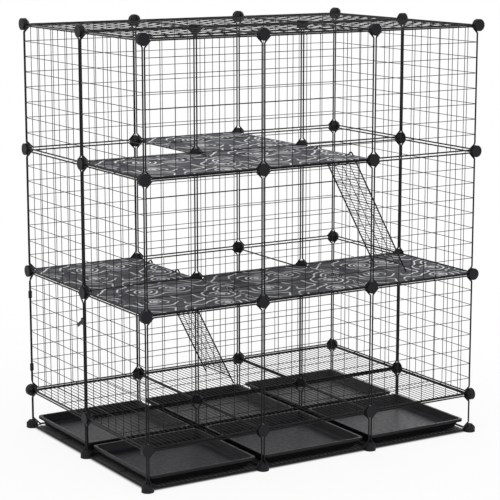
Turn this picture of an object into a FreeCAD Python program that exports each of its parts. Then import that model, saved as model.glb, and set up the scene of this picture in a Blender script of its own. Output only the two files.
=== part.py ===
import FreeCAD, Part
import math
import os

from FreeCAD import Placement, Rotation, Vector

# Wire grid cage for small animals: square wire panels joined by round plastic connectors,
# three tiers high, on short legs, with shelves, mats, ramps, a door and slide-out trays.
# Lengths are millimetres. The origin lies on the ground under the middle of the cage.
# +X runs along the wide front, -Y faces the viewer and +Z is up.

# The grid of cells
cell_pitch = 350.0        # connector to connector, in every direction
columns = 3
rows = 2
tiers = 3
leg_height = 104.8        # foot connector to floor-level connector

# Panel frame wire
frame_wire_d = 4.0
frame_setback = 4.0       # connector line to the middle of the frame wire
corner_run = 17.6         # leg of the slanted corner
bend_radius = 6.0         # round bend at each end of a slanted corner

# Welded mesh wire, in two crossing layers
mesh_wire_d = 1.8
layer_gap = 0.1
coarse_spaces = 8
fine_spaces = 24
fine_bar_spaces = 2

# Round connector: a disc outside, a domed hub inside
disc_d = 33.5
disc_rise = 6.2           # panel plane to the outer face of the disc
disc_thickness = 3.0
disc_edge_round = 1.0
hub_d = 33.0
hub_reach = 16.0          # panel plane to the tip of the hub
hub_shoulder = 8.2        # leg of the slanted shoulder
wire_clearance = 0.15     # between a panel wire and its groove
hub_slot_width = 2.4
hub_slot_depth = 5.0

# Shelf mat
mat_thickness = 4.0
mat_clearance = 0.3       # mat to the wire under it
mat_corner_run = 20.0
hook_notch_depth = 15.0
hook_notch_width = 12.0

# Ramp that hooks over a shelf edge
ramp_wire_d = 4.0
ramp_bar_d = 3.8          # first and last cross bar
ramp_width = 158.0        # between the middles of the side rails
ramp_length = 392.0       # shelf edge wire to the foot, along the slope
ramp_foot_length = 25.0   # bare rail below the last bar
ramp_head_length = 14.0   # bare rail above the first bar
ramp_pitch = 9.5          # between cross wires
ramp_stringers = 3        # thin wires along the slope
hook_clearance = 0.3      # rail to the edge wire
hook_slack = 2.2          # hook tip to the edge wire
hook_rise = 7.0           # straight rail above the edge wire
hook_tip = 3.0            # how far the hook reaches below the edge wire
foot_clearance = 0.3      # rail end to the surface it stands on

# Slide-out tray
tray_clearance = 0.3      # above the base wires
tray_top = 36.0           # rim above the ground
tray_side_gap = 12.0      # connector line to the rim
tray_wall = 2.5
tray_rim_reach = 4.5      # wall to the outer edge of the rim
tray_lip_depth = 8.0
tray_lean = 7.0           # how far the walls lean out between their feet and the rim
tray_foot_rise = 6.0      # height of the slanted foot of the walls
tray_foot_run = 7.5       # width of that foot outside
tray_inner_run = 14.0     # width of that foot inside
tray_foot_corner = 18.0
tray_mouth_corner = 15.0
tray_rim_corner = 11.0

# Door: a panel with wider corners, two hinge clips and a snap catch
door_corner_run = 26.0
clip_height = 20.0
clip_wall = 2.4
clip_fit = 0.05           # radial, on the wire that the clip grips
hinge_fit = 0.1           # radial, on the wire that turns
clip_spaces = (1.5, 6.5)  # mesh spaces from the bottom of the door to each clip
catch_height = 18.0
catch_wall = 2.3          # around the wires
catch_slot_fit = 0.3      # each side of the wire in the open slot
catch_overlap = 1.8       # how far the jaw passes the middle of the wire
catch_below_shelf = 79.0  # lower shelf level to the middle of the catch
catch_back = 4.0          # outer wall of the catch
tab_length = 26.0
tab_drop = 16.0
tab_width = 9.0
tab_thickness = 2.5

# Where the shelves are: (column, row, level), row 0 at the front
shelf_places = {
    "lower_left_back": (0, 1, 1),
    "lower_left_front": (0, 0, 1),
    "lower_middle_front": (1, 0, 1),
    "lower_right_front": (2, 0, 1),
    "upper_left_front": (0, 0, 2),
    "upper_middle_front": (1, 0, 2),
    "upper_middle_back": (1, 1, 2),
}
ramp_shelves = {"lower_ramp": "lower_left_back", "upper_ramp": "upper_middle_front"}

# One more open frame, across the back row: (column, row, tier)
side_frame_place = (2, 1, 0)

# Sizes that follow from the ones above
frame_r = frame_wire_d / 2
mesh_r = mesh_wire_d / 2
ramp_r = ramp_wire_d / 2
layer_offset = mesh_r + layer_gap / 2
panel_half = cell_pitch / 2 - frame_setback
slant_sum = 2 * frame_setback + corner_run
foot_level = disc_rise
floor_level = foot_level + leg_height
rail_offset = frame_r + ramp_r + hook_clearance
hook_offset = frame_r + ramp_r + hook_slack
mat_half = panel_half
mat_base = frame_r + mat_clearance
mat_top = mat_base + mat_thickness
mesh_top = layer_offset + mesh_r
tray_base = foot_level + frame_r + tray_clearance
tray_rim_half = cell_pitch / 2 - tray_side_gap
tray_mouth_half = tray_rim_half - tray_rim_reach
tray_foot_half = tray_mouth_half - tray_lean
quarter_turn = 90.0
third_turn = 120.0

UP = Vector(0, 0, 1)
FLAT = Rotation()
FACING_FRONT = Rotation(Vector(1, 0, 0), quarter_turn)
FACING_SIDE = Rotation(Vector(1, 1, 1), third_turn)
COLUMN_NAMES = ("left", "middle", "right")
ROW_NAMES = ("front", "back")


def node_x(column):
    """X of a connector line, column 0 at the left."""
    return (column - columns / 2) * cell_pitch


def node_y(row):
    """Y of a connector line, row 0 at the front."""
    return (row - rows / 2) * cell_pitch


def node_z(level):
    """Z of a connector line, level 0 at the cage floor."""
    return floor_level + level * cell_pitch


def cell_centre(column, row, z):
    """Middle of a cell's floor at a given height."""
    return Vector(node_x(column) + cell_pitch / 2, node_y(row) + cell_pitch / 2, z)


def placed(shape, centre, rotation=FLAT):
    """Copy of a shape, turned and then moved."""
    copy = shape.copy()
    copy.Placement = Placement(centre, rotation).multiply(shape.Placement)
    return copy


def save(node, solids):
    """One file for one sub-part, holding one or more separate solids."""
    shape = solids[0] if len(solids) == 1 else Part.makeCompound(solids)
    shape.exportStep("parts/" + node + ".step")


def rod(start, end, radius):
    """Straight round wire between two points."""
    return Part.makeCylinder(radius, (end - start).Length, start, end - start)


def bend_points(before, corner, after, radius):
    """Start, middle and end of the round bend at a corner."""
    to_before = (before - corner).normalize()
    to_after = (after - corner).normalize()
    half_angle = to_before.getAngle(to_after) / 2
    run = radius / math.tan(half_angle)
    inward = (to_before + to_after).normalize()
    middle = corner + inward * (radius / math.sin(half_angle) - radius)
    return corner + to_before * run, middle, corner + to_after * run


def swept(path, radius):
    """Round wire along a path of straight and bent edges."""
    first = path.Edges[0]
    start = first.valueAt(first.FirstParameter)
    heading = first.tangentAt(first.FirstParameter)
    profile = Part.Wire([Part.makeCircle(radius, start, heading)])
    return Part.Wire(path.Edges).makePipeShell([profile], True, False)


def bent_loop(corners, radius):
    """Closed loop of frame wire with a round bend at every corner."""
    start = (corners[-1] + corners[0]) / 2
    here = start
    edges = []
    for index, corner in enumerate(corners):
        after = corners[(index + 1) % len(corners)]
        bend_start, bend_middle, bend_end = bend_points(corners[index - 1], corner, after, radius)
        edges.append(Part.makeLine(here, bend_start))
        edges.append(Part.Arc(bend_start, bend_middle, bend_end).toShape())
        here = bend_end
    edges.append(Part.makeLine(here, start))
    return swept(Part.Wire(edges), frame_r)


def square_corners(half, run):
    """Corners of a square whose four corners are cut off at 45 degrees."""
    flat = half - run
    quarter = [Vector(flat, -half), Vector(half, -flat)]
    return [Rotation(UP, quarter_turn * turn).multVec(point) for turn in range(4) for point in quarter]


def mesh_rods(spaces, run, along_y, height):
    """One layer of evenly spaced thin wires that end in the frame wire."""
    rods = []
    for number in range(1, spaces):
        across = panel_half * (2 * number / spaces - 1)
        reach = min(panel_half, 2 * panel_half - run - abs(across))
        start = Vector(across, -reach, height) if along_y else Vector(-reach, across, height)
        end = Vector(across, reach, height) if along_y else Vector(reach, across, height)
        rods.append(rod(start, end, mesh_r))
    return rods


def open_frame(run=corner_run):
    """Square frame wire with no mesh, lying flat around the origin."""
    return bent_loop(square_corners(panel_half, run), bend_radius)


def mesh_panel(run=corner_run):
    """Square panel with a coarse mesh, for the walls, the roof and the door."""
    upright = mesh_rods(coarse_spaces, run, True, layer_offset)
    level = mesh_rods(coarse_spaces, run, False, -layer_offset)
    return open_frame(run).fuse(upright + level).Solids[0]


def fine_panel():
    """Square panel with close wires over a cross bar, for floors and shelves."""
    close = mesh_rods(fine_spaces, corner_run, True, layer_offset)
    bars = mesh_rods(fine_bar_spaces, corner_run, False, -layer_offset)
    return open_frame().fuse(close + bars).Solids[0]


def leg_frame():
    """Low open frame between two legs, upright, with its foot line at the origin."""
    half = panel_half
    low = slant_sum
    top = leg_height - frame_setback
    edge = cell_pitch / 2
    right = [
        Vector(edge - low, 0),
        Vector(half, low - frame_setback),
        Vector(half, top - corner_run),
        Vector(half - corner_run, top),
    ]
    left = [Vector(-point.x, point.y) for point in reversed(right)]
    return bent_loop(right + left, bend_radius)


def connector():
    """Round connector with its hub along +Z and the panel plane at Z = 0."""
    hub_r = hub_d / 2
    disc_r = disc_d / 2
    outer_middle = Vector(0, 0, -disc_rise)
    rim = Vector(disc_r, 0, -disc_rise)
    disc_back = Vector(disc_r, 0, disc_thickness - disc_rise)
    rim_start, rim_middle, rim_end = bend_points(outer_middle, rim, disc_back, disc_edge_round)
    rest = [
        rim_end,
        disc_back,
        Vector(hub_r, 0, disc_thickness - disc_rise),
        Vector(hub_r, 0, hub_reach - hub_shoulder),
        Vector(hub_r - hub_shoulder, 0, hub_reach),
        Vector(0, 0, hub_reach),
        outer_middle,
        rim_start,
    ]
    outline = Part.makePolygon(rest).Edges + [Part.Arc(rim_start, rim_middle, rim_end).toShape()]
    body = Part.Face(Part.Wire(outline)).revolve(Vector(), UP, 4 * quarter_turn)
    groove_r = frame_r + wire_clearance
    cuts = []
    for turn in range(4):
        about_hub = Rotation(UP, quarter_turn * turn)
        ahead = about_hub.multVec(Vector(slant_sum))
        beside = about_hub.multVec(Vector(0, slant_sum))
        cuts.append(rod(ahead, beside, groove_r))
        cuts.append(rod(ahead, UP * slant_sum, groove_r))
    slot = Part.makeBox(hub_slot_width, hub_d, hub_slot_depth * 2)
    slot.translate(Vector(-hub_slot_width / 2, -hub_r, hub_reach - hub_slot_depth))
    cuts.append(slot)
    cuts.append(placed(slot, Vector(), Rotation(UP, quarter_turn)))
    return body.cut(cuts).Solids[0]


def hub_direction(column, row, level):
    """Where the hub of a connector points; its disc shows on the other side."""
    inner_column = 0 < column < columns
    if row == 0:
        at_right_floor = column == columns and level == 0
        return Vector(-1, 0, 0) if at_right_floor else Vector(0, 1, 0)
    if row == rows:
        at_left_above_floor = column == 0 and level > 0
        return Vector(1, 0, 0) if at_left_above_floor else Vector(0, -1, 0)
    if inner_column:
        return Vector(0, 0, -1) if level == tiers else Vector(0, 0, 1)
    return Vector(1, 0, 0) if column == 0 else Vector(-1, 0, 0)


def connector_set(shape, level):
    """All the connectors of one level."""
    solids = []
    for column in range(columns + 1):
        for row in range(rows + 1):
            place = Vector(node_x(column), node_y(row), node_z(level))
            turn = Rotation(UP, hub_direction(column, row, level))
            solids.append(placed(shape, place, turn))
    return solids


def foot_set(shape):
    """The twelve connectors that stand on the ground, hub up."""
    grid = [(column, row) for column in range(columns + 1) for row in range(rows + 1)]
    return [placed(shape, Vector(node_x(column), node_y(row), foot_level)) for column, row in grid]


def wall_centre_x(column, row, tier):
    """Middle of a wall cell that lies along X."""
    return Vector(node_x(column) + cell_pitch / 2, node_y(row), node_z(tier) + cell_pitch / 2)


def wall_centre_y(column, row, tier):
    """Middle of a wall cell that lies along Y."""
    return Vector(node_x(column), node_y(row) + cell_pitch / 2, node_z(tier) + cell_pitch / 2)


def wall_row(shape, row, tier):
    """One tier of a wall along X."""
    return [placed(shape, wall_centre_x(column, row, tier), FACING_FRONT) for column in range(columns)]


def side_wall(shape, column, tier):
    """One tier of a wall along Y."""
    return [placed(shape, wall_centre_y(column, row, tier), FACING_SIDE) for row in range(rows)]


def flat_set(shape, z):
    """One panel in every cell at one height."""
    cells = [(column, row) for column in range(columns) for row in range(rows)]
    return [placed(shape, cell_centre(column, row, z)) for column, row in cells]


def legs_along_x(shape, row):
    """Leg frames under one wall along X."""
    centres = [Vector(node_x(column) + cell_pitch / 2, node_y(row), foot_level) for column in range(columns)]
    return [placed(shape, centre, FACING_FRONT) for centre in centres]


def legs_along_y(shape, column):
    """Leg frames under one wall along Y."""
    centres = [Vector(node_x(column), node_y(row) + cell_pitch / 2, foot_level) for row in range(rows)]
    return [placed(shape, centre, FACING_SIDE) for centre in centres]


def shelf_mat(notched):
    """Mat with cut corners, and notches for ramp hooks in its right edge."""
    corners = square_corners(mat_half, mat_corner_run)
    corners.append(corners[0])
    mat = Part.Face(Part.makePolygon(corners)).extrude(UP * mat_thickness)
    if notched:
        for side in (-1, 1):
            notch = Part.makeBox(2 * hook_notch_depth, hook_notch_width, mat_thickness)
            middle = side * ramp_width / 2
            notch.translate(Vector(mat_half - hook_notch_depth, middle - hook_notch_width / 2))
            mat = mat.cut(notch)
    return mat.Solids[0]


def ramp_rail(y):
    """Side rail with the hook at its head; +Z runs up the slope, the edge wire is at the origin."""
    foot = Vector(rail_offset, y, -ramp_length)
    head = Vector(rail_offset, y, hook_rise)
    hook_r = (rail_offset + hook_offset) / 2
    crown = Vector(rail_offset - hook_r, y, hook_rise + hook_r)
    inside = Vector(-hook_offset, y, hook_rise)
    tip = Vector(-hook_offset, y, -hook_tip)
    bend = Part.Arc(head, crown, inside).toShape()
    return swept(Part.Wire([Part.makeLine(foot, head), bend, Part.makeLine(inside, tip)]), ramp_r)


def ramp():
    """Ladder of wires between two hooked rails."""
    half = ramp_width / 2
    lowest = ramp_foot_length - ramp_length
    highest = -ramp_head_length
    wires = []
    for z in (lowest, highest):
        wires.append(rod(Vector(rail_offset, -half, z), Vector(rail_offset, half, z), ramp_bar_d / 2))
    count = round((highest - lowest) / ramp_pitch)
    front = rail_offset + layer_offset
    for number in range(1, count):
        z = lowest + (highest - lowest) * number / count
        wires.append(rod(Vector(front, -half, z), Vector(front, half, z), mesh_r))
    behind = rail_offset - layer_offset
    for number in range(ramp_stringers):
        y = ramp_width * ((number + 1) / (ramp_stringers + 1)) - half
        wires.append(rod(Vector(behind, y, lowest), Vector(behind, y, highest), mesh_r))
    return ramp_rail(-half).fuse([ramp_rail(half)] + wires).Solids[0]


def ramp_slope(drop):
    """Angle of the ramp with the ground, in degrees, when its feet stand this far below the edge wire."""
    lean = math.atan((rail_offset - ramp_r) / ramp_length)
    reach = math.hypot(ramp_length, rail_offset - ramp_r)
    return math.degrees(lean + math.asin((drop - foot_clearance) / reach))


def ramp_at(shape, shelf, surface):
    """Ramp hooked on the right edge of a shelf, with its feet on the surface below."""
    column, row, level = shelf_places[shelf]
    slope = ramp_slope(cell_pitch - surface)
    edge = cell_centre(column, row, node_z(level)) + Vector(panel_half)
    print("ramp on", shelf, "edge wire", edge, "slope", round(slope, 2))
    return placed(shape, edge, Rotation(Vector(0, 1, 0), slope - quarter_turn))


def rounded_square(half, corner, z):
    """Closed outline of a square with round corners."""
    edges = []
    flat = half - corner
    mid = flat + corner * math.sqrt(0.5)
    for turn in range(4):
        spin = Rotation(UP, quarter_turn * turn)
        points = [(half, -flat), (half, flat), (mid, mid), (flat, half)]
        low, high, bend, end = [spin.multVec(Vector(x, y, z)) for x, y in points]
        edges.append(Part.makeLine(low, high))
        edges.append(Part.Arc(high, bend, end).toShape())
    return Part.Wire(edges)


def plate(half, corner, z, height):
    """Flat slab with a rounded square outline."""
    return Part.Face(rounded_square(half, corner, z)).extrude(UP * height)


def basin(bottom, floor_half, inset):
    """Solid tray shape with slanted feet and leaning walls, its walls moved in by the inset."""
    foot_corner = tray_foot_corner - inset
    foot_half = tray_foot_half - inset
    return Part.makeLoft([
        rounded_square(floor_half, foot_corner, bottom),
        rounded_square(foot_half, foot_corner, bottom + tray_foot_rise),
        rounded_square(tray_mouth_half - inset, tray_mouth_corner - inset, tray_top),
    ], True, True)


def tray():
    """Shallow tray with leaning walls and a rim whose edge turns down."""
    flange = tray_top - tray_wall
    outer = basin(tray_base, tray_foot_half - tray_foot_run, 0)
    hollow = basin(tray_base + tray_wall, tray_foot_half - tray_wall - tray_inner_run, tray_wall)
    rim = plate(tray_rim_half, tray_rim_corner, flange, tray_wall)
    rim = rim.cut(plate(tray_mouth_half - tray_wall, tray_mouth_corner - tray_wall, flange, tray_wall))
    lip_base = tray_top - tray_lip_depth
    lip_height = tray_lip_depth - tray_wall
    lip = plate(tray_rim_half, tray_rim_corner, lip_base, lip_height)
    lip = lip.cut(plate(tray_rim_half - tray_wall, tray_rim_corner - tray_wall, lip_base, lip_height))
    return outer.fuse([rim, lip]).cut(hollow).removeSplitter().Solids[0]


def hinge_clip(z):
    """Clip that holds the door's rear wire beside the back wall's outer wire."""
    grip = Vector(node_x(0) + frame_setback, node_y(rows), z)
    pin = Vector(node_x(0), node_y(rows) - frame_setback, z)
    outer_r = frame_r + clip_wall
    across = pin - grip
    web = Part.makeBox(across.Length, outer_r * 2, clip_height)
    web.translate(Vector(0, -outer_r))
    web = placed(web, grip, Rotation(Vector(1, 0, 0), across))
    barrels = [Part.makeCylinder(outer_r, clip_height, centre) for centre in (grip, pin)]
    body = web.fuse(barrels)
    body = body.removeSplitter()
    body = body.cut(Part.makeCylinder(frame_r + clip_fit, clip_height, grip))
    return body.cut(Part.makeCylinder(frame_r + hinge_fit, clip_height, pin)).Solids[0]


def hinge_clips():
    """Both hinge clips, each between two mesh wires of the door."""
    space = 2 * panel_half / coarse_spaces
    base = node_z(0) + frame_setback
    return [hinge_clip(base + space * count - clip_height / 2) for count in clip_spaces]


def door_catch():
    """Snap catch on the door's front wire, with a jaw for the fixed wire and a thumb tab."""
    wall_x = node_x(0)
    door_y = node_y(1) + frame_setback
    fixed_y = node_y(1) - frame_setback
    base = node_z(1) - catch_below_shelf - catch_height / 2
    outer_x = wall_x - frame_r - catch_back
    half = frame_setback + frame_r + catch_wall
    block = Part.makeBox(wall_x + catch_overlap - outer_x, 2 * half, catch_height)
    block.translate(Vector(outer_x, node_y(1) - half, base))
    slot_half = frame_r + catch_slot_fit
    slot = Part.makeBox(slot_half + 2 * catch_overlap, 2 * slot_half, catch_height)
    slot.translate(Vector(wall_x - slot_half, fixed_y - slot_half, base))
    bore = Part.makeCylinder(frame_r + clip_fit, catch_height, Vector(wall_x, door_y, base))
    start = Vector(outer_x, door_y, base + catch_height / 2)
    side = Vector(0, tab_drop, tab_length).normalize() * (tab_width / 2)
    tip = start + Vector(0, tab_length, -tab_drop)
    tab_outline = [start + side, start - side, tip - side, tip + side, start + side]
    tab = Part.Face(Part.makePolygon(tab_outline)).extrude(Vector(tab_thickness))
    return block.cut([slot, bore]).fuse(tab).Solids[0]


def build():
    """Makes every sub-part and writes its file."""
    wall = mesh_panel()
    floor = fine_panel()
    frame = open_frame()
    leg = leg_frame()
    joint = connector()
    climb = ramp()
    bin_shape = tray()

    save("feet", foot_set(joint))
    for level, name in enumerate(("floor", "lower_shelf", "upper_shelf", "roof")):
        save("connectors_" + name, connector_set(joint, level))

    for tier in range(tiers):
        number = str(tier + 1)
        for column, panel in enumerate(wall_row(wall, 0, tier)):
            save("front_panel_" + COLUMN_NAMES[column] + "_tier_" + number, [panel])
        save("back_panels_tier_" + number, wall_row(wall, rows, tier))
        save("right_panels_tier_" + number, side_wall(wall, columns, tier))
        save("divider_frames_tier_" + number, wall_row(frame, 1, tier))
    save("side_frame_tier_1", [placed(frame, wall_centre_y(*side_frame_place), FACING_SIDE)])
    save("left_panel_front_tier_1", side_wall(wall, 0, 0)[:1])
    save("left_panels_tier_2", side_wall(wall, 0, 1))
    save("left_panels_tier_3", side_wall(wall, 0, 2))
    save("roof_panels", flat_set(wall, node_z(tiers)))
    save("floor_panels", flat_set(floor, node_z(0)))

    for name, (column, row, level) in shelf_places.items():
        centre = cell_centre(column, row, node_z(level))
        save("shelf_" + name, [placed(floor, centre)])
        mat = shelf_mat(name in ramp_shelves.values())
        save("mat_" + name, [placed(mat, centre + UP * mat_base)])

    save("upper_ramp", [ramp_at(climb, ramp_shelves["upper_ramp"], mat_top)])
    save("lower_ramp", [ramp_at(climb, ramp_shelves["lower_ramp"], mesh_top)])

    save("leg_frames_front", legs_along_x(leg, 0))
    save("leg_frames_middle", legs_along_x(leg, 1))
    save("leg_frames_back", legs_along_x(leg, rows))
    save("leg_frames_left", legs_along_y(leg, 0))
    save("leg_frames_right", legs_along_y(leg, columns))
    save("base_panels", flat_set(floor, foot_level))
    for column in range(columns):
        for row in range(rows):
            name = "tray_" + COLUMN_NAMES[column] + "_" + ROW_NAMES[row]
            save(name, [placed(bin_shape, cell_centre(column, row, 0))])

    save("door", [placed(mesh_panel(door_corner_run), wall_centre_y(0, 1, 0), FACING_SIDE)])
    save("door_hinge_clips", hinge_clips())
    save("door_catch", [door_catch()])


os.makedirs("parts", exist_ok=True)
build()
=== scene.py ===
import math

import bmesh
import bpy
import numpy as np
from bpy.props import FloatProperty, FloatVectorProperty, IntProperty, PointerProperty
from bpy.types import Operator, Panel, PropertyGroup
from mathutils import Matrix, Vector
from mathutils.geometry import delaunay_2d_cdt


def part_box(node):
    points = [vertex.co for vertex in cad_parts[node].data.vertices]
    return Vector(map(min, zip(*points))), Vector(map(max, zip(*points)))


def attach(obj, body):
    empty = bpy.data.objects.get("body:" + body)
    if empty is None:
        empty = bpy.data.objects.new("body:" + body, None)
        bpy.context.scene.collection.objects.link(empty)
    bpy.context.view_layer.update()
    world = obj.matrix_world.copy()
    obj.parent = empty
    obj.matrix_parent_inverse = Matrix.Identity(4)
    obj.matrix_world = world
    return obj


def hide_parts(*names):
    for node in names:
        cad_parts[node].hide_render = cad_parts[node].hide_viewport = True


bl_info = {
    "name": "Wire grid cage",
    "version": (1, 0, 0),
    "blender": (4, 5, 0),
    "location": "View3D > Sidebar > Cage",
    "description": "Finishes the wire grid cage: coated wires, connectors, mats, trays and the studio",
    "category": "Object",
}

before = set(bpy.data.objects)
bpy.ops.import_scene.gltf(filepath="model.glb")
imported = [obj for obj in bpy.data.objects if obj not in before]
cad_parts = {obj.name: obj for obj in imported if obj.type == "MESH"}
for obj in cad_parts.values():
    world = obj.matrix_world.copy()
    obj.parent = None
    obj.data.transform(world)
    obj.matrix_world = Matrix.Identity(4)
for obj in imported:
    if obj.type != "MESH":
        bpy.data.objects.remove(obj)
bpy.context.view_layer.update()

INSIDE_OF_CONSTRAINTS = 1   # the triangulation keeps only what lies inside the outline
MERGE_DISTANCE = 1e-6
BEAD_STEPS = 3              # rows of faces from pole to pole of a weld bead
FLOOR_SIDES = 64            # straight sides of the round floor
KEY_WAY = Vector((0.30, 0.80, -0.62))
BACK_PLACE = Vector((2.6, 2.2, 1.2))
BACK_AIM = Vector((0.5, -0.2, 0.0))

MAT_PLACES = [name[len("mat_"):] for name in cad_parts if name.startswith("mat_")]
TRAY_PLACES = [name[len("tray_"):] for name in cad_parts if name.startswith("tray_")]
CLOSE_WIRE_WORDS = ("floor_panels", "base_panels", "shelf_")
FINE_NODES = [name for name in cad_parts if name.startswith(CLOSE_WIRE_WORDS)]
COARSE_NODES = [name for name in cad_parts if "_panel" in name and name not in FINE_NODES]
RAMP_SHELVES = ("lower_left_back", "upper_middle_front")


def length(name, description, default, low=0.0):
    """A size in metres that a user can change."""
    return FloatProperty(name=name, description=description, default=default, min=low, unit="LENGTH",
                         precision=5)


def in_degrees(name, description, degrees):
    """An angle that a user can change, given here in degrees."""
    return FloatProperty(name=name, description=description, default=math.radians(degrees), subtype="ANGLE")


def count(name, description, default):
    """A whole number that a user can change."""
    return IntProperty(name=name, description=description, default=default, min=1)


def amount(name, description, default, high=1.0):
    """A plain factor from nought upwards."""
    return FloatProperty(name=name, description=description, default=default, min=0.0, max=high)


def colour(name, description, default):
    """A colour, in linear light."""
    return FloatVectorProperty(name=name, description=description, default=default, subtype="COLOR",
                               min=0.0, max=1.0)


class CageMatSizes(PropertyGroup):
    """Sizes of the printed shelf mats."""

    thickness: length("Thickness", "Thickness of the sheet, low in its solid's space", 0.0016)
    corner_run: length("Corner run", "Leg of the cut corner", 0.020)
    corner_round: length("Corner round", "Radius of each corner of the outline", 0.0025)
    edge_round: length("Edge round", "Radius of the rolled edge", 0.0007)
    notch_depth: length("Notch depth", "Hook notch, in from the edge", 0.015)
    notch_width: length("Notch width", "Hook notch, along the edge", 0.012)
    hook_spacing: length("Hook spacing", "Between the two ramp hooks", 0.158)
    wave: length("Wave", "Height of the slow waves in the mat", 0.0005)
    wave_length: length("Wave length", "From wave to wave", 0.170)
    grid: length("Grid", "Spacing of the surface points", 0.014)


class CageTraySizes(PropertyGroup):
    """Sizes of the slide-out trays."""

    wall: length("Wall", "Wall thickness", 0.0025)
    rim_reach: length("Rim reach", "Wall to the outer edge of the rim", 0.0045)
    rim_round: length("Rim round", "Radius of the rim's edges", 0.0010)
    lip_depth: length("Lip depth", "Height of the turned-down rim edge", 0.008)
    lean: length("Lean", "How far the walls lean out between their feet and the rim", 0.007)
    foot_rise: length("Foot rise", "Height of the curved foot of the walls", 0.006)
    foot_run: length("Foot run", "Width of that foot outside", 0.0075)
    inner_run: length("Inner run", "Width of that foot inside", 0.014)
    foot_corner: length("Foot corner", "Corner radius of the walls at the foot", 0.018)
    mouth_corner: length("Mouth corner", "Corner radius of the walls at the rim", 0.015)
    rim_corner: length("Rim corner", "Corner radius of the rim", 0.011)


class CageWeldSizes(PropertyGroup):
    """Sizes of the spot welds where mesh wires cross or meet the frame wire."""

    coarse_spaces: count("Coarse spaces", "Mesh spaces across a wall panel", 8)
    fine_spaces: count("Close spaces", "Mesh spaces across a floor panel", 24)
    fine_bar_spaces: count("Bar spaces", "Mesh spaces along a floor panel's close wires", 2)
    crossing_half: length("Crossing half", "Half the width of a weld where wires cross", 0.00112)
    crossing_rise: length("Crossing rise", "Half the height of a weld where wires cross", 0.0008)
    frame_half: length("Frame weld", "Half the width of a weld on the frame wire", 0.0013)
    frame_wire: length("Frame wire", "Diameter of the frame wire", 0.004)
    corner_run: length("Corner run", "Leg of the panel's slanted corner", 0.0176)


class CageColours(PropertyGroup):
    """Colours of the finishes."""

    wire: colour("Wire", "Powder coat on all the wires", (0.0058, 0.0058, 0.0064))
    connector: colour("Connector", "Moulded round connectors", (0.0074, 0.0072, 0.0094))
    clip: colour("Clip", "Door clips and catch", (0.0075, 0.0073, 0.0083))
    tray: colour("Tray", "Moulded trays", (0.0040, 0.0040, 0.0046))
    # painted sheen: paler colour for the tray faces that look up, a painted highlight on the rim and a
    # painted reflection on the floor
    tray_painted_sheen: colour("Tray scuff", "Scuffed grain on the tray's rim and floor", (0.0300, 0.0325, 0.0430))
    mat: colour("Mat", "Ground colour of the printed mats", (0.056, 0.058, 0.067))
    mat_line: colour("Mat line", "Pale grain lines of the print", (0.88, 0.885, 0.90))
    mat_edge: colour("Mat edge", "Cut edge of the mats", (0.006, 0.006, 0.0065))


class CageStudio(PropertyGroup):
    """Camera, light and floor."""

    azimuth: in_degrees("Azimuth", "Camera to the left of the front", 31.72)
    elevation: in_degrees("Elevation", "Camera above the horizon", 10.70)
    distance: length("Distance", "Camera to the point that it looks at", 5.0949)
    target_x: length("Target X", "Sideways place that the camera looks at", 0.00057, -10.0)
    target_height: length("Target height", "Height that the camera looks at", 0.5258)
    lens: FloatProperty(name="Lens", description="Focal length on a 36 mm sensor", default=129.45,
                        unit="CAMERA")
    floor_radius: length("Floor radius", "Radius of the pale floor", 30.0)
    floor_gap: length("Floor gap", "Hair's gap under the feet", 0.0002)
    floor: amount("Floor", "Brightness of the floor, seen by the camera", 1.0)
    bounce: amount("Bounce", "Brightness of the floor, as light on the cage", 0.80)
    own_white: amount("Own white", "Share of the floor's white that no shadow dims", 0.86)
    # painted shadow: the floor under the base is painted dark, fading in over this width, and its colour
    # there is held at most this bright
    contact: length("Contact", "Half the width of the change to the floor under the base", 0.008)
    under: amount("Under the base", "Highest brightness of the floor under the base", 0.15)
    sky: amount("Sky", "Strength of the soft light from all round", 0.77)
    key: amount("Key", "Strength of the soft light from above the front", 1.10, 10.0)
    key_spread: in_degrees("Key spread", "How soft the key light is", 70)
    back: amount("Back", "Power of the soft box behind the right end, in watts", 5.0, 1000.0)
    back_size: length("Back size", "Side of that soft box", 1.5)


class CageSettings(PropertyGroup):
    """Everything that a user would change."""

    mats: PointerProperty(type=CageMatSizes)
    trays: PointerProperty(type=CageTraySizes)
    welds: PointerProperty(type=CageWeldSizes)
    colours: PointerProperty(type=CageColours)
    studio: PointerProperty(type=CageStudio)


def node(tree, kind, **inputs):
    """New shader node; each keyword sets the input socket of that name, by value or by link."""
    made = tree.nodes.new(kind)
    for name, value in inputs.items():
        put(tree, made, name.replace("_", " "), value)
    return made


def put(tree, made, socket, value):
    """Sets one input socket, by value or by a link from another node's output."""
    if isinstance(value, bpy.types.NodeSocket):
        tree.links.new(value, made.inputs[socket])
    else:
        made.inputs[socket].default_value = value


def calculated(tree, operation, *values):
    """Result of a Math node on values or links."""
    made = tree.nodes.new("ShaderNodeMath")
    made.operation = operation
    for index, value in enumerate(values):
        put(tree, made, index, value)
    return made.outputs[0]


def mapped(tree, value, low, high, to_low, to_high, smooth=False):
    """A value carried from one range to another, and kept inside it."""
    made = tree.nodes.new("ShaderNodeMapRange")
    made.interpolation_type = "SMOOTHSTEP" if smooth else "LINEAR"
    for socket, number in zip(("From Min", "From Max", "To Min", "To Max"), (low, high, to_low, to_high)):
        put(tree, made, socket, number)
    put(tree, made, "Value", value)
    return made.outputs["Result"]


def mixed(tree, factor, first, second):
    """Colour between two colours."""
    made = tree.nodes.new("ShaderNodeMix")
    made.data_type = "RGBA"
    put(tree, made, 0, factor)
    put(tree, made, 6, first)
    put(tree, made, 7, second)
    return made.outputs[2]


def noise(tree, coordinates, scale, detail=2.0):
    """Smooth noise from nought to one."""
    made = node(tree, "ShaderNodeTexNoise", Vector=coordinates, Scale=scale, Detail=detail)
    return made.outputs["Fac"]


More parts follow.
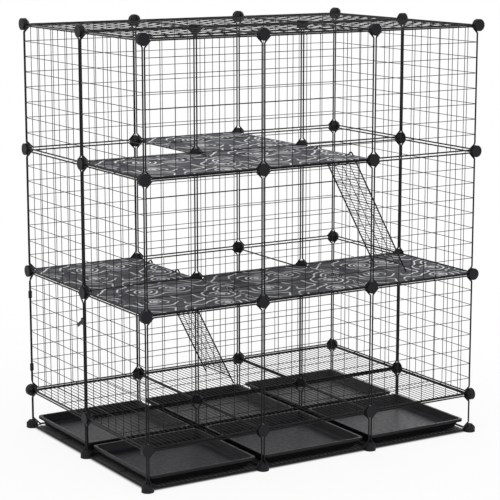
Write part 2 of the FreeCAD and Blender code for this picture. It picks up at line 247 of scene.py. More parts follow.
def new_group(name, inputs, outputs):
    """Shader node group with named sockets; returns it with its input and output nodes."""
    group = bpy.data.node_groups.new(name, "ShaderNodeTree")
    for socket_name, kind, default in inputs:
        socket = group.interface.new_socket(socket_name, in_out="INPUT", socket_type=kind)
        socket.default_value = default
    for socket_name, kind in outputs:
        group.interface.new_socket(socket_name, in_out="OUTPUT", socket_type=kind)
    return group, group.nodes.new("NodeGroupInput"), group.nodes.new("NodeGroupOutput")


def mottle_group():
    """Slow unevenness of a finish: the colour and the roughness drift together over the surface."""
    found = bpy.data.node_groups.get("surface_mottle")
    if found:
        return found
    group, start, end = new_group(
        "surface_mottle",
        [("Colour", "NodeSocketColor", (0.02, 0.02, 0.02, 1.0)),
         ("Patches per Metre", "NodeSocketFloat", 20.0), ("Shade Range", "NodeSocketFloat", 0.2),
         ("Roughness", "NodeSocketFloat", 0.5), ("Roughness Range", "NodeSocketFloat", 0.1)],
        [("Colour", "NodeSocketColor"), ("Roughness", "NodeSocketFloat")])
    place = group.nodes.new("ShaderNodeTexCoord").outputs["Object"]
    patch = noise(group, place, start.outputs["Patches per Metre"], 3.0)
    centred = calculated(group, "SUBTRACT", patch, 0.5)
    shade = calculated(group, "MULTIPLY_ADD", centred, start.outputs["Shade Range"], 1.0)
    tinted = group.nodes.new("ShaderNodeVectorMath")
    tinted.operation = "SCALE"
    put(group, tinted, 0, start.outputs["Colour"])
    put(group, tinted, "Scale", shade)
    rough = calculated(group, "MULTIPLY_ADD", centred, start.outputs["Roughness Range"],
                       start.outputs["Roughness"])
    put(group, end, "Colour", tinted.outputs[0])
    put(group, end, "Roughness", rough)
    return group


def grain_group():
    """Moulded or sprayed texture: round cells over noise of twice their number."""
    found = bpy.data.node_groups.get("fine_grain")
    if found:
        return found
    group, start, end = new_group(
        "fine_grain",
        [("Cells per Metre", "NodeSocketFloat", 900.0), ("Cell Share", "NodeSocketFloat", 0.5)],
        [("Height", "NodeSocketFloat")])
    place = group.nodes.new("ShaderNodeTexCoord").outputs["Object"]
    cells = group.nodes.new("ShaderNodeTexVoronoi")
    cells.feature = "SMOOTH_F1"
    put(group, cells, "Vector", place)
    put(group, cells, "Scale", start.outputs["Cells per Metre"])
    fine = noise(group, place, calculated(group, "MULTIPLY", start.outputs["Cells per Metre"], 2.0), 1.0)
    round_part = calculated(group, "MULTIPLY", cells.outputs["Distance"], start.outputs["Cell Share"])
    rest = calculated(group, "SUBTRACT", 1.0, start.outputs["Cell Share"])
    put(group, end, "Height", calculated(group, "MULTIPLY_ADD", fine, rest, round_part))
    return group


def placed_group(tree, group, **inputs):
    """A group put into a material with its own values."""
    made = tree.nodes.new("ShaderNodeGroup")
    made.node_tree = group
    for name, value in inputs.items():
        put(tree, made, name.replace("_", " "), value)
    return made


def new_material(name):
    """Material with one Principled shader; returns it with its tree and its shader."""
    material = bpy.data.materials.new(name)
    material.use_nodes = True
    tree = material.node_tree
    tree.nodes.clear()
    shader = tree.nodes.new("ShaderNodeBsdfPrincipled")
    output = tree.nodes.new("ShaderNodeOutputMaterial")
    tree.links.new(shader.outputs["BSDF"], output.inputs["Surface"])
    return material, tree, shader


def textured(name, tint, patches, shade_range, rough, rough_range, cells, cell_share, depth, gloss):
    """A mottled, finely grained finish: cells and patches per metre, depth in metres."""
    material, tree, shader = new_material(name)
    drift = placed_group(tree, mottle_group(), Colour=(*tint, 1.0), Patches_per_Metre=patches,
                         Shade_Range=shade_range, Roughness=rough, Roughness_Range=rough_range)
    grain = placed_group(tree, grain_group(), Cells_per_Metre=cells, Cell_Share=cell_share)
    bump = node(tree, "ShaderNodeBump", Strength=1.0, Distance=depth, Height=grain.outputs["Height"])
    tree.links.new(drift.outputs["Colour"], shader.inputs["Base Color"])
    tree.links.new(drift.outputs["Roughness"], shader.inputs["Roughness"])
    tree.links.new(bump.outputs["Normal"], shader.inputs["Normal"])
    shader.inputs["Specular IOR Level"].default_value = gloss
    return material


def wire_coat(colours):
    """Satin powder coat with a slight orange peel."""
    return textured("satin_powder_coat", colours.wire, patches=45.0, shade_range=0.35, rough=0.40,
                    rough_range=0.12, cells=700.0, cell_share=0.25, depth=0.00006, gloss=0.16)


def connector_plastic(colours):
    """Moulded connector plastic, faintly grained."""
    return textured("connector_plastic", colours.connector, patches=60.0, shade_range=0.30, rough=0.50,
                    rough_range=0.14, cells=900.0, cell_share=0.45, depth=0.00008, gloss=0.17)


def clip_plastic(colours):
    """Moulded clip plastic, a little smoother."""
    return textured("clip_plastic", colours.clip, patches=80.0, shade_range=0.25, rough=0.40,
                    rough_range=0.10, cells=1100.0, cell_share=0.30, depth=0.00005, gloss=0.20)


def tray_plastic(colours):
    """Leather-grained tray plastic: the walls are black, and the faces that look up are painted paler as
    painted sheen: a painted highlight on the rim and a painted reflection on the floor, speckled as painted
    glints over the grain.
    """
    material, tree, shader = new_material("tray_plastic")
    hollow = 0.25
    peak = 0.60
    hollow_shade = 1.40
    peak_shade = 0.50
    # painted sheen: a mesh attribute says how much of the paler colour each point gets
    painted_sheen_mask = tree.nodes.new("ShaderNodeAttribute")
    painted_sheen_mask.attribute_name = "painted_sheen"
    grain = placed_group(tree, grain_group(), Cells_per_Metre=230.0, Cell_Share=0.70)
    # painted glints: the grain's hollows lighten the painted sheen and its peaks darken it
    painted_glint = mapped(tree, grain.outputs["Height"], hollow, peak, hollow_shade, peak_shade)
    painted_sheen = tree.nodes.new("ShaderNodeVectorMath")
    painted_sheen.operation = "SCALE"
    put(tree, painted_sheen, 0, colours.tray_painted_sheen)
    put(tree, painted_sheen, "Scale", painted_glint)
    tint = mixed(tree, painted_sheen_mask.outputs["Fac"], (*colours.tray, 1.0), painted_sheen.outputs[0])
    drift = placed_group(tree, mottle_group(), Patches_per_Metre=95.0, Shade_Range=1.9, Roughness=0.40,
                         Roughness_Range=0.55, Colour=tint)
    bump = node(tree, "ShaderNodeBump", Strength=1.0, Distance=0.00030, Height=grain.outputs["Height"])
    tree.links.new(drift.outputs["Colour"], shader.inputs["Base Color"])
    tree.links.new(drift.outputs["Roughness"], shader.inputs["Roughness"])
    tree.links.new(bump.outputs["Normal"], shader.inputs["Normal"])
    shader.inputs["Specular IOR Level"].default_value = 0.20
    return material


def grain_field_group():
    """Height field whose contour lines are the printed knots.

    The height grows with the root of the distance to the nearest knot, so the rings stand further
    apart the wider they are, and noise bends them.
    """
    found = bpy.data.node_groups.get("grain_field")
    if found:
        return found
    knots_per_metre = 7.6
    knot_blend = 0.35
    rings = 7.4
    bends_per_metre = 13.0
    bend_strength = 1.7
    group, start, end = new_group("grain_field", [("Place", "NodeSocketVector", (0.0, 0.0, 0.0))],
                                  [("Height", "NodeSocketFloat")])
    knots = group.nodes.new("ShaderNodeTexVoronoi")
    knots.voronoi_dimensions = "2D"
    knots.feature = "SMOOTH_F1"
    put(group, knots, "Vector", start.outputs["Place"])
    put(group, knots, "Scale", knots_per_metre)
    put(group, knots, "Smoothness", knot_blend)
    climb = calculated(group, "SQRT", calculated(group, "MAXIMUM", knots.outputs["Distance"], 0.0))
    bends = noise(group, start.outputs["Place"], bends_per_metre, 1.0)
    put(group, end, "Height", calculated(group, "MULTIPLY_ADD", bends, bend_strength,
                                         calculated(group, "MULTIPLY", climb, rings)))
    return group


def printed_line_group():
    """Mask of the pale lines, all of one width.

    The distance to a contour is the field's height above it over the field's slope, and the slope
    comes from the field a small step further along each axis.
    """
    found = bpy.data.node_groups.get("printed_lines")
    if found:
        return found
    step = 0.0008
    least_slope = 10.0    # a flatter place counts as this steep, so that no line fills it
    full_until = 0.35     # of the line width, out from the contour
    gone_after = 0.65
    group, start, end = new_group(
        "printed_lines",
        [("Place", "NodeSocketVector", (0.0, 0.0, 0.0)), ("Line Width", "NodeSocketFloat", 0.003)],
        [("Mask", "NodeSocketFloat")])
    heights = []
    for shift in ((0.0, 0.0, 0.0), (step, 0.0, 0.0), (0.0, step, 0.0)):
        moved = group.nodes.new("ShaderNodeVectorMath")
        put(group, moved, 0, start.outputs["Place"])
        put(group, moved, 1, shift)
        heights.append(placed_group(group, grain_field_group(), Place=moved.outputs[0]).outputs["Height"])
    climbs = [calculated(group, "SUBTRACT", height, heights[0]) for height in heights[1:]]
    squares = [calculated(group, "MULTIPLY", climb, climb) for climb in climbs]
    climb = calculated(group, "SQRT", calculated(group, "ADD", *squares))
    slope = calculated(group, "MAXIMUM", calculated(group, "DIVIDE", climb, step), least_slope)
    past = calculated(group, "SUBTRACT", calculated(group, "FRACT", heights[0]), 0.5)
    away = calculated(group, "DIVIDE", calculated(group, "ABSOLUTE", past), slope)
    inner = calculated(group, "MULTIPLY", start.outputs["Line Width"], full_until)
    outer = calculated(group, "MULTIPLY", start.outputs["Line Width"], gone_after)
    put(group, end, "Mask", mapped(group, away, inner, outer, 1.0, 0.0, True))
    return group


def mat_print(colours):
    """Dark mat with pale wood-grain lines and a fine felt-like surface; the cut edge is black."""
    line_width = 0.0050
    worn_per_metre = 19.0
    worn_below = 0.42
    whole_above = 0.52
    worn_strength = 0.10
    along_grain = 6.0
    across_grain = 60.0
    streak_share = 0.18
    material, tree, shader = new_material("printed_mat")
    print_place = node(tree, "ShaderNodeUVMap").outputs["UV"]
    lines = placed_group(tree, printed_line_group(), Place=print_place, Line_Width=line_width)
    worn = mapped(tree, noise(tree, print_place, worn_per_metre, 1.5), worn_below, whole_above,
                  worn_strength, 1.0)
    streaks = tree.nodes.new("ShaderNodeMapping")
    put(tree, streaks, "Vector", print_place)
    put(tree, streaks, "Scale", (along_grain, across_grain, 1.0))
    ground = placed_group(tree, mottle_group(), Colour=(*colours.mat, 1.0), Patches_per_Metre=22.0,
                          Shade_Range=0.5, Roughness=0.90, Roughness_Range=0.12)
    pale = mapped(tree, noise(tree, streaks.outputs["Vector"], 1.6, 3.0), 0.35, 0.75, 0.0, streak_share)
    streaked = mixed(tree, pale, ground.outputs["Colour"], (*colours.mat_line, 1.0))
    kept = calculated(tree, "MULTIPLY", lines.outputs["Mask"], worn)
    printed = mixed(tree, kept, streaked, (*colours.mat_line, 1.0))
    border = tree.nodes.new("ShaderNodeAttribute")
    border.attribute_name = "border"
    edged = mixed(tree, border.outputs["Fac"], printed, (*colours.mat_edge, 1.0))
    grain = placed_group(tree, grain_group(), Cells_per_Metre=1500.0, Cell_Share=0.35)
    bump = node(tree, "ShaderNodeBump", Strength=1.0, Distance=0.00012, Height=grain.outputs["Height"])
    tree.links.new(edged, shader.inputs["Base Color"])
    tree.links.new(ground.outputs["Roughness"], shader.inputs["Roughness"])
    tree.links.new(bump.outputs["Normal"], shader.inputs["Normal"])
    shader.inputs["Specular IOR Level"].default_value = 0.03
    return material


def upward_part(mesh):
    """How far up each point's normal looks, from -1 to 1."""
    normals = np.empty(len(mesh.vertices) * 3)
    mesh.vertices.foreach_get("normal", normals)
    return normals.reshape(-1, 3)[:, 2]


def mesh_piece(name, points, faces, material, body):
    """New object at the origin from arrays of points and faces, in its finish, riding on a body."""
    mesh = bpy.data.meshes.new(name)
    mesh.from_pydata(points, [], faces)
    mesh.materials.append(material)
    mesh.shade_smooth()
    piece = bpy.data.objects.new(name, mesh)
    bpy.context.scene.collection.objects.link(piece)
    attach(piece, body)
    return piece


def merged(piece):
    """Joins coincident points and turns all the faces outwards."""
    work = bmesh.new()
    work.from_mesh(piece.data)
    bmesh.ops.remove_doubles(work, verts=work.verts, dist=MERGE_DISTANCE)
    bmesh.ops.recalc_face_normals(work, faces=work.faces)
    work.to_mesh(piece.data)
    work.free()


def ring_faces(ring_count, ring_size):
    """Quads between neighbouring closed rings of points, as an array of corner numbers."""
    ring, step = np.meshgrid(np.arange(ring_count - 1), np.arange(ring_size), indexing="ij")
    after = (step + 1) % ring_size
    base = ring * ring_size
    corners = [base + step, base + after, base + ring_size + after, base + ring_size + step]
    return np.stack(corners, -1).reshape(-1, 4)


def rounded_outline(corners, radius, steps):
    """Points and outward normals round a closed outline whose corners are arcs.

    corners run anticlockwise. At each corner the normal turns by the outline's own angle, and the
    point is the arc's centre plus the radius times that normal, outwards at a convex corner and
    inwards at a hollow one.
    """
    before = corners - np.roll(corners, 1, axis=0)
    after = np.roll(before, -1, axis=0)
    before = before / np.linalg.norm(before, axis=1, keepdims=True)
    after = after / np.linalg.norm(after, axis=1, keepdims=True)
    normal_in = np.stack([before[:, 1], -before[:, 0]], 1)
    normal_out = np.stack([after[:, 1], -after[:, 0]], 1)
    turn = np.arctan2(before[:, 0] * after[:, 1] - before[:, 1] * after[:, 0], (before * after).sum(1))
    side = np.sign(turn)[:, None]
    opening = 1 + (normal_in * normal_out).sum(1)
    centre = corners - side * radius * (normal_in + normal_out) / opening[:, None]
    angle = np.arctan2(normal_in[:, 1], normal_in[:, 0])[:, None] + turn[:, None] * np.linspace(0, 1, steps)
    normals = np.stack([np.cos(angle), np.sin(angle)], -1)
    points = centre[:, None] + side[:, None] * radius * normals
    return points.reshape(-1, 2), normals.reshape(-1, 2)


def mat_corners(half, sizes, notched):
    """Outline of a mat round its middle, anticlockwise: cut corners, and hook notches on the right."""
    flat = half - sizes.corner_run
    right = [(half, -flat), (half, flat)]
    if notched:
        inner = half - sizes.notch_depth
        hook = sizes.hook_spacing / 2
        half_width = sizes.notch_width / 2
        sides = [-hook - half_width, -hook + half_width, hook - half_width, hook + half_width]
        notches = [(half, sides[0]), (inner, sides[0]), (inner, sides[1]), (half, sides[1]),
                   (half, sides[2]), (inner, sides[2]), (inner, sides[3]), (half, sides[3])]
        right = right[:1] + notches + right[1:]
    rest = [(flat, half), (-flat, half), (-half, flat), (-half, -flat), (-flat, -half), (flat, -half)]
    return np.array(right + rest)


def filled(outline, inner_points):
    """Triangles over the inside of an outline, through extra points; returns points and faces."""
    ring = list(range(len(outline)))
    everything = [Vector(point) for point in np.vstack([outline, inner_points])]
    result = delaunay_2d_cdt(everything, [], [ring], INSIDE_OF_CONSTRAINTS, MERGE_DISTANCE)
    return np.array([point[:] for point in result[0]]), result[2]


def inner_grid(half, sizes, notched):
    """Even grid of points well inside a mat's outline."""
    margin = sizes.edge_round + sizes.grid / 2
    line = np.arange(-half + margin, half - margin, sizes.grid)
    x, y = [values.ravel() for values in np.meshgrid(line, line)]
    kept = np.abs(x) + np.abs(y) < 2 * half - sizes.corner_run - 2 * margin
    if notched:
        beside = np.abs(np.abs(y) - sizes.hook_spacing / 2) < sizes.notch_width / 2 + margin
        kept &= ~((x > half - sizes.notch_depth - margin) & beside)
    return np.stack([x[kept], y[kept]], 1)


def mat_surface(half, thickness, sizes, notched):
    """Points and faces of a mat round its middle, resting on height nought.

    The edge is a profile with a quarter round below and above, carried along the outline, and the
    top and bottom are filled with triangles.
    """
    outline_steps = 5
    edge_steps = 5
    outline, normals = rounded_outline(mat_corners(half, sizes, notched), sizes.corner_round, outline_steps)
    bend = np.linspace(0, math.pi / 2, edge_steps)
    radius = sizes.edge_round
    inset = np.concatenate([radius * (1 - np.sin(bend)), radius * (1 - np.cos(bend))])
    height = np.concatenate([radius * (1 - np.cos(bend)), thickness - radius * (1 - np.sin(bend))])
    rings = outline[None] - inset[:, None, None] * normals[None]
    tall = np.broadcast_to(height[:, None, None], (*rings.shape[:2], 1))
    edge_points = np.concatenate([rings, tall], -1).reshape(-1, 3)
    faces = ring_faces(len(inset), len(outline)).tolist()
    flat_points, flat_faces = filled(rings[0], inner_grid(half, sizes, notched))
    first = len(edge_points)
    top = np.column_stack([flat_points, np.full(len(flat_points), thickness)])
    bottom = np.column_stack([flat_points, np.zeros(len(flat_points))])
    faces += [[corner + first for corner in face] for face in flat_faces]
    faces += [[corner + first + len(top) for corner in reversed(face)] for face in flat_faces]
    return np.vstack([edge_points, top, bottom]), faces


def printed_mat(place, index, sizes, material):
    """One mat in place of its plain solid: rolled edges, slow waves and the print.

    The waves are a sine along X times a closer cosine along Y.
    """
    closer = 1.3
    edge_limit = 0.8    # a point whose normal looks up less than this is at the edge or below
    low, high = [np.array(corner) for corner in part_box("mat_" + place)]
    half = (high[0] - low[0]) / 2
    centre = (low + high) / 2
    points, faces = mat_surface(half, sizes.thickness, sizes, place in RAMP_SHELVES)
    along = 2 * math.pi * points[:, :2] / sizes.wave_length + index
    points[:, 2] += sizes.wave * (1 + np.sin(along[:, 0]) * np.cos(closer * along[:, 1])) / 2
    placed = points + np.array([centre[0], centre[1], low[2]])
    piece = mesh_piece("printed_mat_" + place, placed, faces, material, "cage")
    merged(piece)
    mesh = piece.data
    spots = np.empty(len(mesh.vertices) * 3)
    mesh.vertices.foreach_get("co", spots)
    spots = spots.reshape(-1, 3)
    border = mesh.attributes.new("border", "FLOAT", "POINT")
    border.data.foreach_set("value", (upward_part(mesh) < edge_limit).astype(np.float32))
    corner_points = np.empty(len(mesh.loops), dtype=np.int32)
    mesh.loops.foreach_get("vertex_index", corner_points)
    cut = np.array([0.37, 0.61])    # middle of the mat in the endless print
    laid = spots[corner_points, :2] - centre[:2] + cut
    layout = mesh.uv_layers.new(name="print_layout")
    layout.uv.foreach_set("vector", laid.astype(np.float32).ravel())
    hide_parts("mat_" + place)


def bend(start, corner, end, steps=5):
    """Smooth bend from one row to another, drawn towards the corner between them.

    At the share t of the way the row is (1 - t)^2 start + 2 t (1 - t) corner + t^2 end.
    """
    share = np.linspace(0, 1, steps)[:, None]
    start, corner, end = [np.array(row) for row in (start, corner, end)]
    return (1 - share) ** 2 * start + 2 * share * (1 - share) * corner + share ** 2 * end


def tray_section(base, top, rim_half, sizes):
    """Section of a tray from its floor, over the rim, to its underside.

    Each row holds the half width, the height and the corner radius. The walls lean out evenly
    from their feet to the rim, and each foot bends smoothly into the floor.
    """
    wall = sizes.wall
    edge = sizes.rim_round
    mouth_half = rim_half - sizes.rim_reach
    foot_half = mouth_half - sizes.lean

    def on_wall(height, bottom, inset):
        """Row of a wall face whose foot stands on the given bottom."""
        foot = bottom + sizes.foot_rise
        share = (height - foot) / (top - foot)
        corner = sizes.foot_corner + (sizes.mouth_corner - sizes.foot_corner) * share
        return foot_half + sizes.lean * share - inset, height, corner - inset

    def foot(bottom, inset, run):
        """Bend between the floor and a wall face."""
        high = on_wall(bottom + sizes.foot_rise, bottom, inset)
        return bend((high[0] - run, bottom, high[2]), on_wall(bottom, bottom, inset), high, 8)

    floor_top = base + wall
    under = top - wall
    low = top - sizes.lip_depth
    inside = rim_half - wall
    rim = sizes.rim_corner
    mouth = on_wall(top, floor_top, wall)
    return np.vstack([
        foot(floor_top, wall, sizes.inner_run),
        bend(on_wall(top - edge, floor_top, wall), mouth, (mouth[0] + edge, top, mouth[2])),
        bend((rim_half - edge, top, rim), (rim_half, top, rim), (rim_half, top - edge, rim)),
        bend((rim_half, low + edge, rim), (rim_half, low, rim), (rim_half - edge, low, rim)),
        bend((inside + edge, low, rim), (inside, low, rim), (inside, low + edge, rim)),
        [(inside, under, rim), on_wall(under, base, 0.0)],
        foot(base, 0.0, sizes.foot_run)[::-1],
    ])


def painted_sheen_part(mesh, top, sizes):
    """How much painted sheen each point gets: the rim fully, as a painted highlight, the floor by a share,
    as a painted reflection, the walls not at all.
    """
    floor_share = 0.45
    fall_off = 4    # power of the normal's upward part, which fades the painted sheen on a slope
    spots = np.empty(len(mesh.vertices) * 3)
    mesh.vertices.foreach_get("co", spots)
    on_rim = spots.reshape(-1, 3)[:, 2] > top - sizes.rim_round
    return np.clip(upward_part(mesh), 0.0, 1.0) ** fall_off * np.where(on_rim, 1.0, floor_share)


def moulded_tray(place, sizes, material):
    """One tray in place of its plain solid: the section carried round a square with round corners."""
    low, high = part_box("tray_" + place)
    corner_steps = 9
    section = tray_section(low.z, high.z, (high.x - low.x) / 2, sizes)
    reach, height, corner = [row[:, None] for row in section.T]
    angle = np.linspace(0, math.pi / 2, corner_steps)
    across = reach - corner + corner * np.cos(angle)
    along = reach - corner + corner * np.sin(angle)
    x = np.concatenate([across, -along, -across, along], 1) + (low.x + high.x) / 2
    y = np.concatenate([along, across, -along, -across], 1) + (low.y + high.y) / 2
    points = np.stack([x, y, np.broadcast_to(height, x.shape)], -1).reshape(-1, 3)
    ring_size = 4 * corner_steps
    faces = ring_faces(len(reach), ring_size).tolist()
    faces.append(list(range(ring_size))[::-1])
    faces.append(list(range(len(points) - ring_size, len(points))))
    piece = mesh_piece("moulded_tray_" + place, points, faces, material, "tray_" + place)
    merged(piece)
    # painted sheen: each point's share of the paler colour, by how far it looks up
    painted_sheen_mask = piece.data.attributes.new("painted_sheen", "FLOAT", "POINT")
    painted_sheen_mask.data.foreach_set("value", painted_sheen_part(piece.data, high.z, sizes).astype(np.float32))
    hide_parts("tray_" + place)


def blob(steps):
    """Closed round bead of unit radius: points on rings of latitude, with a point at each pole."""
    around = np.linspace(0, 2 * math.pi, 2 * steps, endpoint=False)
    down = np.linspace(0, math.pi, steps + 1)[1:-1]
    ring = np.stack([np.outer(np.sin(down), np.cos(around)), np.outer(np.sin(down), np.sin(around)),
                     np.outer(np.cos(down), np.ones(2 * steps))], -1).reshape(-1, 3)
    points = np.vstack([ring, [[0, 0, 1], [0, 0, -1]]])
    size = 2 * steps
    first = np.arange(size)
    last = first + (len(down) - 1) * size
    top = np.stack([np.full(size, len(ring)), first, (first + 1) % size], 1)
    bottom = np.stack([np.full(size, len(ring) + 1), last[0] + (first + 1) % size, last], 1)
    quads = ring_faces(len(down), size)[:, [0, 3, 2, 1]]
    return points, top.tolist() + quads.tolist() + bottom.tolist()


def panel_frames(node_name, panel, pitch):
    """Middle, first in-plane axis, second in-plane axis and normal of each panel in a node."""
    low, high = [np.array(corner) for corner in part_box(node_name)]
    thin = int(np.argmin(high - low))
    first, second = [axis for axis in range(3) if axis != thin]
    counts = [max(1, round((high - low - panel)[axis] / pitch) + 1) for axis in (first, second)]
    places = []
    for a in np.linspace(low[first] + panel / 2, high[first] - panel / 2, counts[0]):
        for b in np.linspace(low[second] + panel / 2, high[second] - panel / 2, counts[1]):
            middle = (low + high) / 2
            middle[first] = a
            middle[second] = b
            places.append(middle)
    axes = np.eye(3)
    return places, axes[first], axes[second], axes[thin]


def weld_piece(name, spots, body, material):
    """All the welds of a group: one small bead for each middle and its three half sizes."""
    middles = np.array([spot[0] for spot in spots])
    sizes = np.array([spot[1] for spot in spots])
    points, faces = blob(BEAD_STEPS)
    everything = (middles[:, None] + sizes[:, None] * points[None]).reshape(-1, 3)
    shift = np.repeat(np.arange(len(spots)) * len(points), len(faces))
    corners = faces * len(spots)
    joined = [[corner + int(move) for corner in face] for face, move in zip(corners, shift)]
    return mesh_piece(name, everything, joined, material, body)


def panel_spots(node_name, spaces, sizes, panel, pitch, cross_spaces):
    """Middles and half sizes of the welds of every panel in a node."""
    places, first, second, normal = panel_frames(node_name, panel, pitch)
    half = panel / 2 - sizes.frame_wire / 2
    first_lines = np.linspace(-half, half, spaces + 1)[1:-1]
    second_lines = np.linspace(-half, half, cross_spaces + 1)[1:-1]
    crossing = sizes.crossing_half * (first + second) + sizes.crossing_rise * normal
    seat = sizes.frame_half * (first + second + normal)
    inner = half - sizes.frame_wire / 2
    spots = []
    for middle in places:
        spots += [(middle + a * first + b * second, crossing) for a in first_lines for b in second_lines]
        for a in first_lines:
            end = min(inner, 2 * half - sizes.corner_run - abs(a) - sizes.frame_wire / 2)
            spots += [(middle + a * first + side * end * second, seat) for side in (-1, 1)]
        for b in second_lines:
            end = min(inner, 2 * half - sizes.corner_run - abs(b) - sizes.frame_wire / 2)
            spots += [(middle + b * second + side * end * first, seat) for side in (-1, 1)]
    return spots


def give_finish(prefixes, material):
    """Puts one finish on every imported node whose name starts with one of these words."""
    found = [piece for name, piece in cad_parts.items() if name.startswith(prefixes)]
    if not found:
        raise RuntimeError("no node starts with " + " or ".join(prefixes))
    for piece in found:
        piece.data.materials.clear()
        piece.data.materials.append(material)


class CAGE_OT_wires(Operator):
    """Coat every wire: panels, open frames, shelves, ramps and the door"""

    bl_idname = "cage.wires"
    bl_label = "Coat the wires"

    def execute(self, context):
        coat = wire_coat(context.scene.cage.colours)
        give_finish(("front_", "back_", "left_", "right_", "roof_", "floor_", "base_", "divider_", "side_",
                     "leg_", "shelf_", "upper_ramp", "lower_ramp"), coat)
        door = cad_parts["door"]
        door.data.materials.clear()
        door.data.materials.append(coat)
        return {"FINISHED"}


class CAGE_OT_connectors(Operator):
    """Finish the round connectors and the feet"""

    bl_idname = "cage.connectors"
    bl_label = "Finish the connectors"

    def execute(self, context):
        give_finish(("connectors_", "feet"), connector_plastic(context.scene.cage.colours))
        return {"FINISHED"}


class CAGE_OT_clips(Operator):
    """Finish the door's hinge clips and its catch"""

    bl_idname = "cage.clips"
    bl_label = "Finish the door clips"

    def execute(self, context):
        give_finish(("door_hinge_clips", "door_catch"), clip_plastic(context.scene.cage.colours))
        return {"FINISHED"}


class CAGE_OT_mats(Operator):
    """Lay a printed mat on each shelf"""

    bl_idname = "cage.mats"
    bl_label = "Lay the mats"

    def execute(self, context):
        material = mat_print(context.scene.cage.colours)
        for index, place in enumerate(MAT_PLACES):
            printed_mat(place, index, context.scene.cage.mats, material)
        return {"FINISHED"}


class CAGE_OT_trays(Operator):
    """Make the six moulded trays"""

    bl_idname = "cage.trays"
    bl_label = "Make the trays"

    def execute(self, context):
        material = tray_plastic(context.scene.cage.colours)
        for place in TRAY_PLACES:
            moulded_tray(place, context.scene.cage.trays, material)
        return {"FINISHED"}


class CAGE_OT_welds(Operator):
    """Add the spot welds of every mesh panel"""

    bl_idname = "cage.welds"
    bl_label = "Add the welds"

    def execute(self, context):
        sizes = context.scene.cage.welds
        material = wire_coat(context.scene.cage.colours)
        door_low, door_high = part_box("door")
        panel = door_high.z - door_low.z
        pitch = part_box("front_panel_middle_tier_1")[0].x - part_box("front_panel_left_tier_1")[0].x
        for node_name in COARSE_NODES:
            spots = panel_spots(node_name, sizes.coarse_spaces, sizes, panel, pitch, sizes.coarse_spaces)
            weld_piece("welds_" + node_name, spots, "cage", material)
        for node_name in FINE_NODES:
            spots = panel_spots(node_name, sizes.fine_spaces, sizes, panel, pitch, sizes.fine_bar_spaces)
            weld_piece("welds_" + node_name, spots, "cage", material)
        spots = panel_spots("door", sizes.coarse_spaces, sizes, panel, pitch, sizes.coarse_spaces)
        weld_piece("welds_door", spots, "door", material)
        return {"FINISHED"}


def looked_at(tree):
    """One where the camera, a reflection or a view through something looks, nought for plain light."""
    path = tree.nodes.new("ShaderNodeLightPath")
    indirect = calculated(tree, "MAXIMUM", path.outputs["Is Glossy Ray"],
                          path.outputs["Is Transmission Ray"])
    return calculated(tree, "MAXIMUM", path.outputs["Is Camera Ray"], indirect)


def beside_base(tree):
    """Distance outside the rectangle that the cage stands on, in metres."""
    place = tree.nodes.new("ShaderNodeTexCoord").outputs["Object"]
    apart = node(tree, "ShaderNodeSeparateXYZ", Vector=place)
    low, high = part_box("base_panels")
    past = []
    for axis, half in (("X", (high.x - low.x) / 2), ("Y", (high.y - low.y) / 2)):
        past.append(calculated(tree, "SUBTRACT", calculated(tree, "ABSOLUTE", apart.outputs[axis]), half))
    return calculated(tree, "MAXIMUM", *past)


def floor_material(studio):
    """Matt floor: white with faint shadows where it is looked at, and a painted shadow under the base,
    where its colour is held dark.
    """
    material, tree, shader = new_material("studio_floor")
    seen = looked_at(tree)
    # painted shadow: clear runs from nought under the base to one outside it, and under the base the floor
    # loses its own white
    clear = mapped(tree, beside_base(tree), -studio.contact, studio.contact, 0.0, 1.0, True)
    own = calculated(tree, "MULTIPLY", seen, studio.floor * studio.own_white)
    own = calculated(tree, "MULTIPLY", own, clear)
    lit = mapped(tree, seen, 0.0, 1.0, studio.bounce, studio.floor * (1.0 - studio.own_white))
    # painted shadow: under the base the floor's colour is held at most at the studio's under value
    under = calculated(tree, "MINIMUM", lit, studio.under)
    shade = calculated(tree, "ADD", calculated(tree, "MULTIPLY", lit, clear),
                       calculated(tree, "MULTIPLY", under, calculated(tree, "SUBTRACT", 1.0, clear)))
    tree.links.new(shade, shader.inputs["Base Color"])
    shader.inputs["Emission Color"].default_value = (1.0, 1.0, 1.0, 1.0)
    tree.links.new(own, shader.inputs["Emission Strength"])
    shader.inputs["Roughness"].default_value = 1.0
    shader.inputs["Specular IOR Level"].default_value = 0.0
    return material


def studio_world(studio):
    """White surroundings: plain light from all round, and pure white where they are looked at."""
    world = bpy.data.worlds.new("studio_world")
    world.use_nodes = True
    tree = world.node_tree
    tree.nodes.clear()
    background = tree.nodes.new("ShaderNodeBackground")
    put(tree, background, "Color", (1.0, 1.0, 1.0, 1.0))
    put(tree, background, "Strength", mapped(tree, looked_at(tree), 0.0, 1.0, studio.sky, 1.0))
    output = tree.nodes.new("ShaderNodeOutputWorld")
    tree.links.new(background.outputs["Background"], output.inputs["Surface"])
    return world


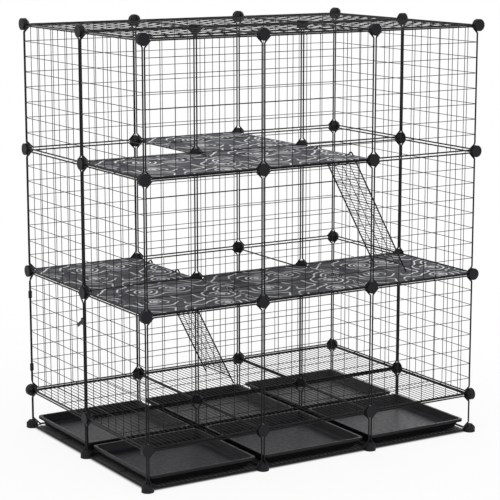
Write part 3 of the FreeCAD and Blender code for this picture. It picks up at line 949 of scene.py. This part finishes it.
class CAGE_OT_studio(Operator):
    """Set up the pale floor, the soft light and the camera"""

    bl_idname = "cage.studio"
    bl_label = "Set up the studio"

    def execute(self, context):
        studio = context.scene.cage.studio
        scene = context.scene
        scene.view_settings.view_transform = "Standard"
        scene.world = studio_world(studio)
        around = np.linspace(0, 2 * math.pi, FLOOR_SIDES, endpoint=False)
        rim = np.stack([np.cos(around), np.sin(around)], 1) * studio.floor_radius
        mesh = bpy.data.meshes.new("studio_floor")
        level = np.full(len(rim), -studio.floor_gap)
        mesh.from_pydata(np.column_stack([rim, level]), [], [list(range(len(rim)))])
        mesh.materials.append(floor_material(studio))
        floor = bpy.data.objects.new("studio_floor", mesh)
        scene.collection.objects.link(floor)

        lamp = bpy.data.lights.new("key_light", "SUN")
        lamp.energy = studio.key
        lamp.angle = studio.key_spread
        key = bpy.data.objects.new("key_light", lamp)
        key.rotation_euler = KEY_WAY.to_track_quat("-Z", "Y").to_euler()
        scene.collection.objects.link(key)

        lamp = bpy.data.lights.new("back_light", "AREA")
        lamp.energy = studio.back
        lamp.size = studio.back_size
        back = bpy.data.objects.new("back_light", lamp)
        back.location = BACK_PLACE
        back.rotation_euler = (BACK_AIM - BACK_PLACE).to_track_quat("-Z", "Y").to_euler()
        back.visible_camera = False
        scene.collection.objects.link(back)

        ahead = Vector((math.sin(studio.azimuth) * math.cos(studio.elevation),
                        math.cos(studio.azimuth) * math.cos(studio.elevation), -math.sin(studio.elevation)))
        camera = bpy.data.objects.new("studio_camera", bpy.data.cameras.new("studio_camera"))
        camera.data.lens = studio.lens
        camera.data.clip_end = 4 * studio.floor_radius
        camera.location = Vector((studio.target_x, 0.0, studio.target_height)) - ahead * studio.distance
        camera.rotation_euler = ahead.to_track_quat("-Z", "Y").to_euler()
        scene.collection.objects.link(camera)
        scene.camera = camera
        return {"FINISHED"}


class CAGE_PT_pieces(Panel):
    """Lists the pieces of the cage and their sizes"""

    bl_idname = "CAGE_PT_pieces"
    bl_label = "Wire grid cage"
    bl_space_type = "VIEW_3D"
    bl_region_type = "UI"
    bl_category = "Cage"

    def draw(self, context):
        settings = context.scene.cage
        for operator in OPERATORS:
            self.layout.operator(operator.bl_idname)
        for group in (settings.mats, settings.trays, settings.welds, settings.colours, settings.studio):
            box = self.layout.box()
            for name in group.__annotations__:
                box.prop(group, name)


OPERATORS = (CAGE_OT_wires, CAGE_OT_connectors, CAGE_OT_clips, CAGE_OT_mats, CAGE_OT_trays, CAGE_OT_welds,
             CAGE_OT_studio)
CLASSES = (CageMatSizes, CageTraySizes, CageWeldSizes, CageColours, CageStudio, CageSettings, *OPERATORS,
           CAGE_PT_pieces)


def register():
    """Makes the settings, operators and panel known."""
    for item in CLASSES:
        bpy.utils.register_class(item)
    bpy.types.Scene.cage = PointerProperty(type=CageSettings)


def unregister():
    """Takes the settings, operators and panel away again."""
    del bpy.types.Scene.cage
    for item in reversed(CLASSES):
        bpy.utils.unregister_class(item)


def main():
    """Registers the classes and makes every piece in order."""
    register()
    bpy.ops.cage.wires()
    bpy.ops.cage.connectors()
    bpy.ops.cage.clips()
    bpy.ops.cage.mats()
    bpy.ops.cage.trays()
    bpy.ops.cage.welds()
    bpy.ops.cage.studio()


if __name__ == "__main__":
    main()
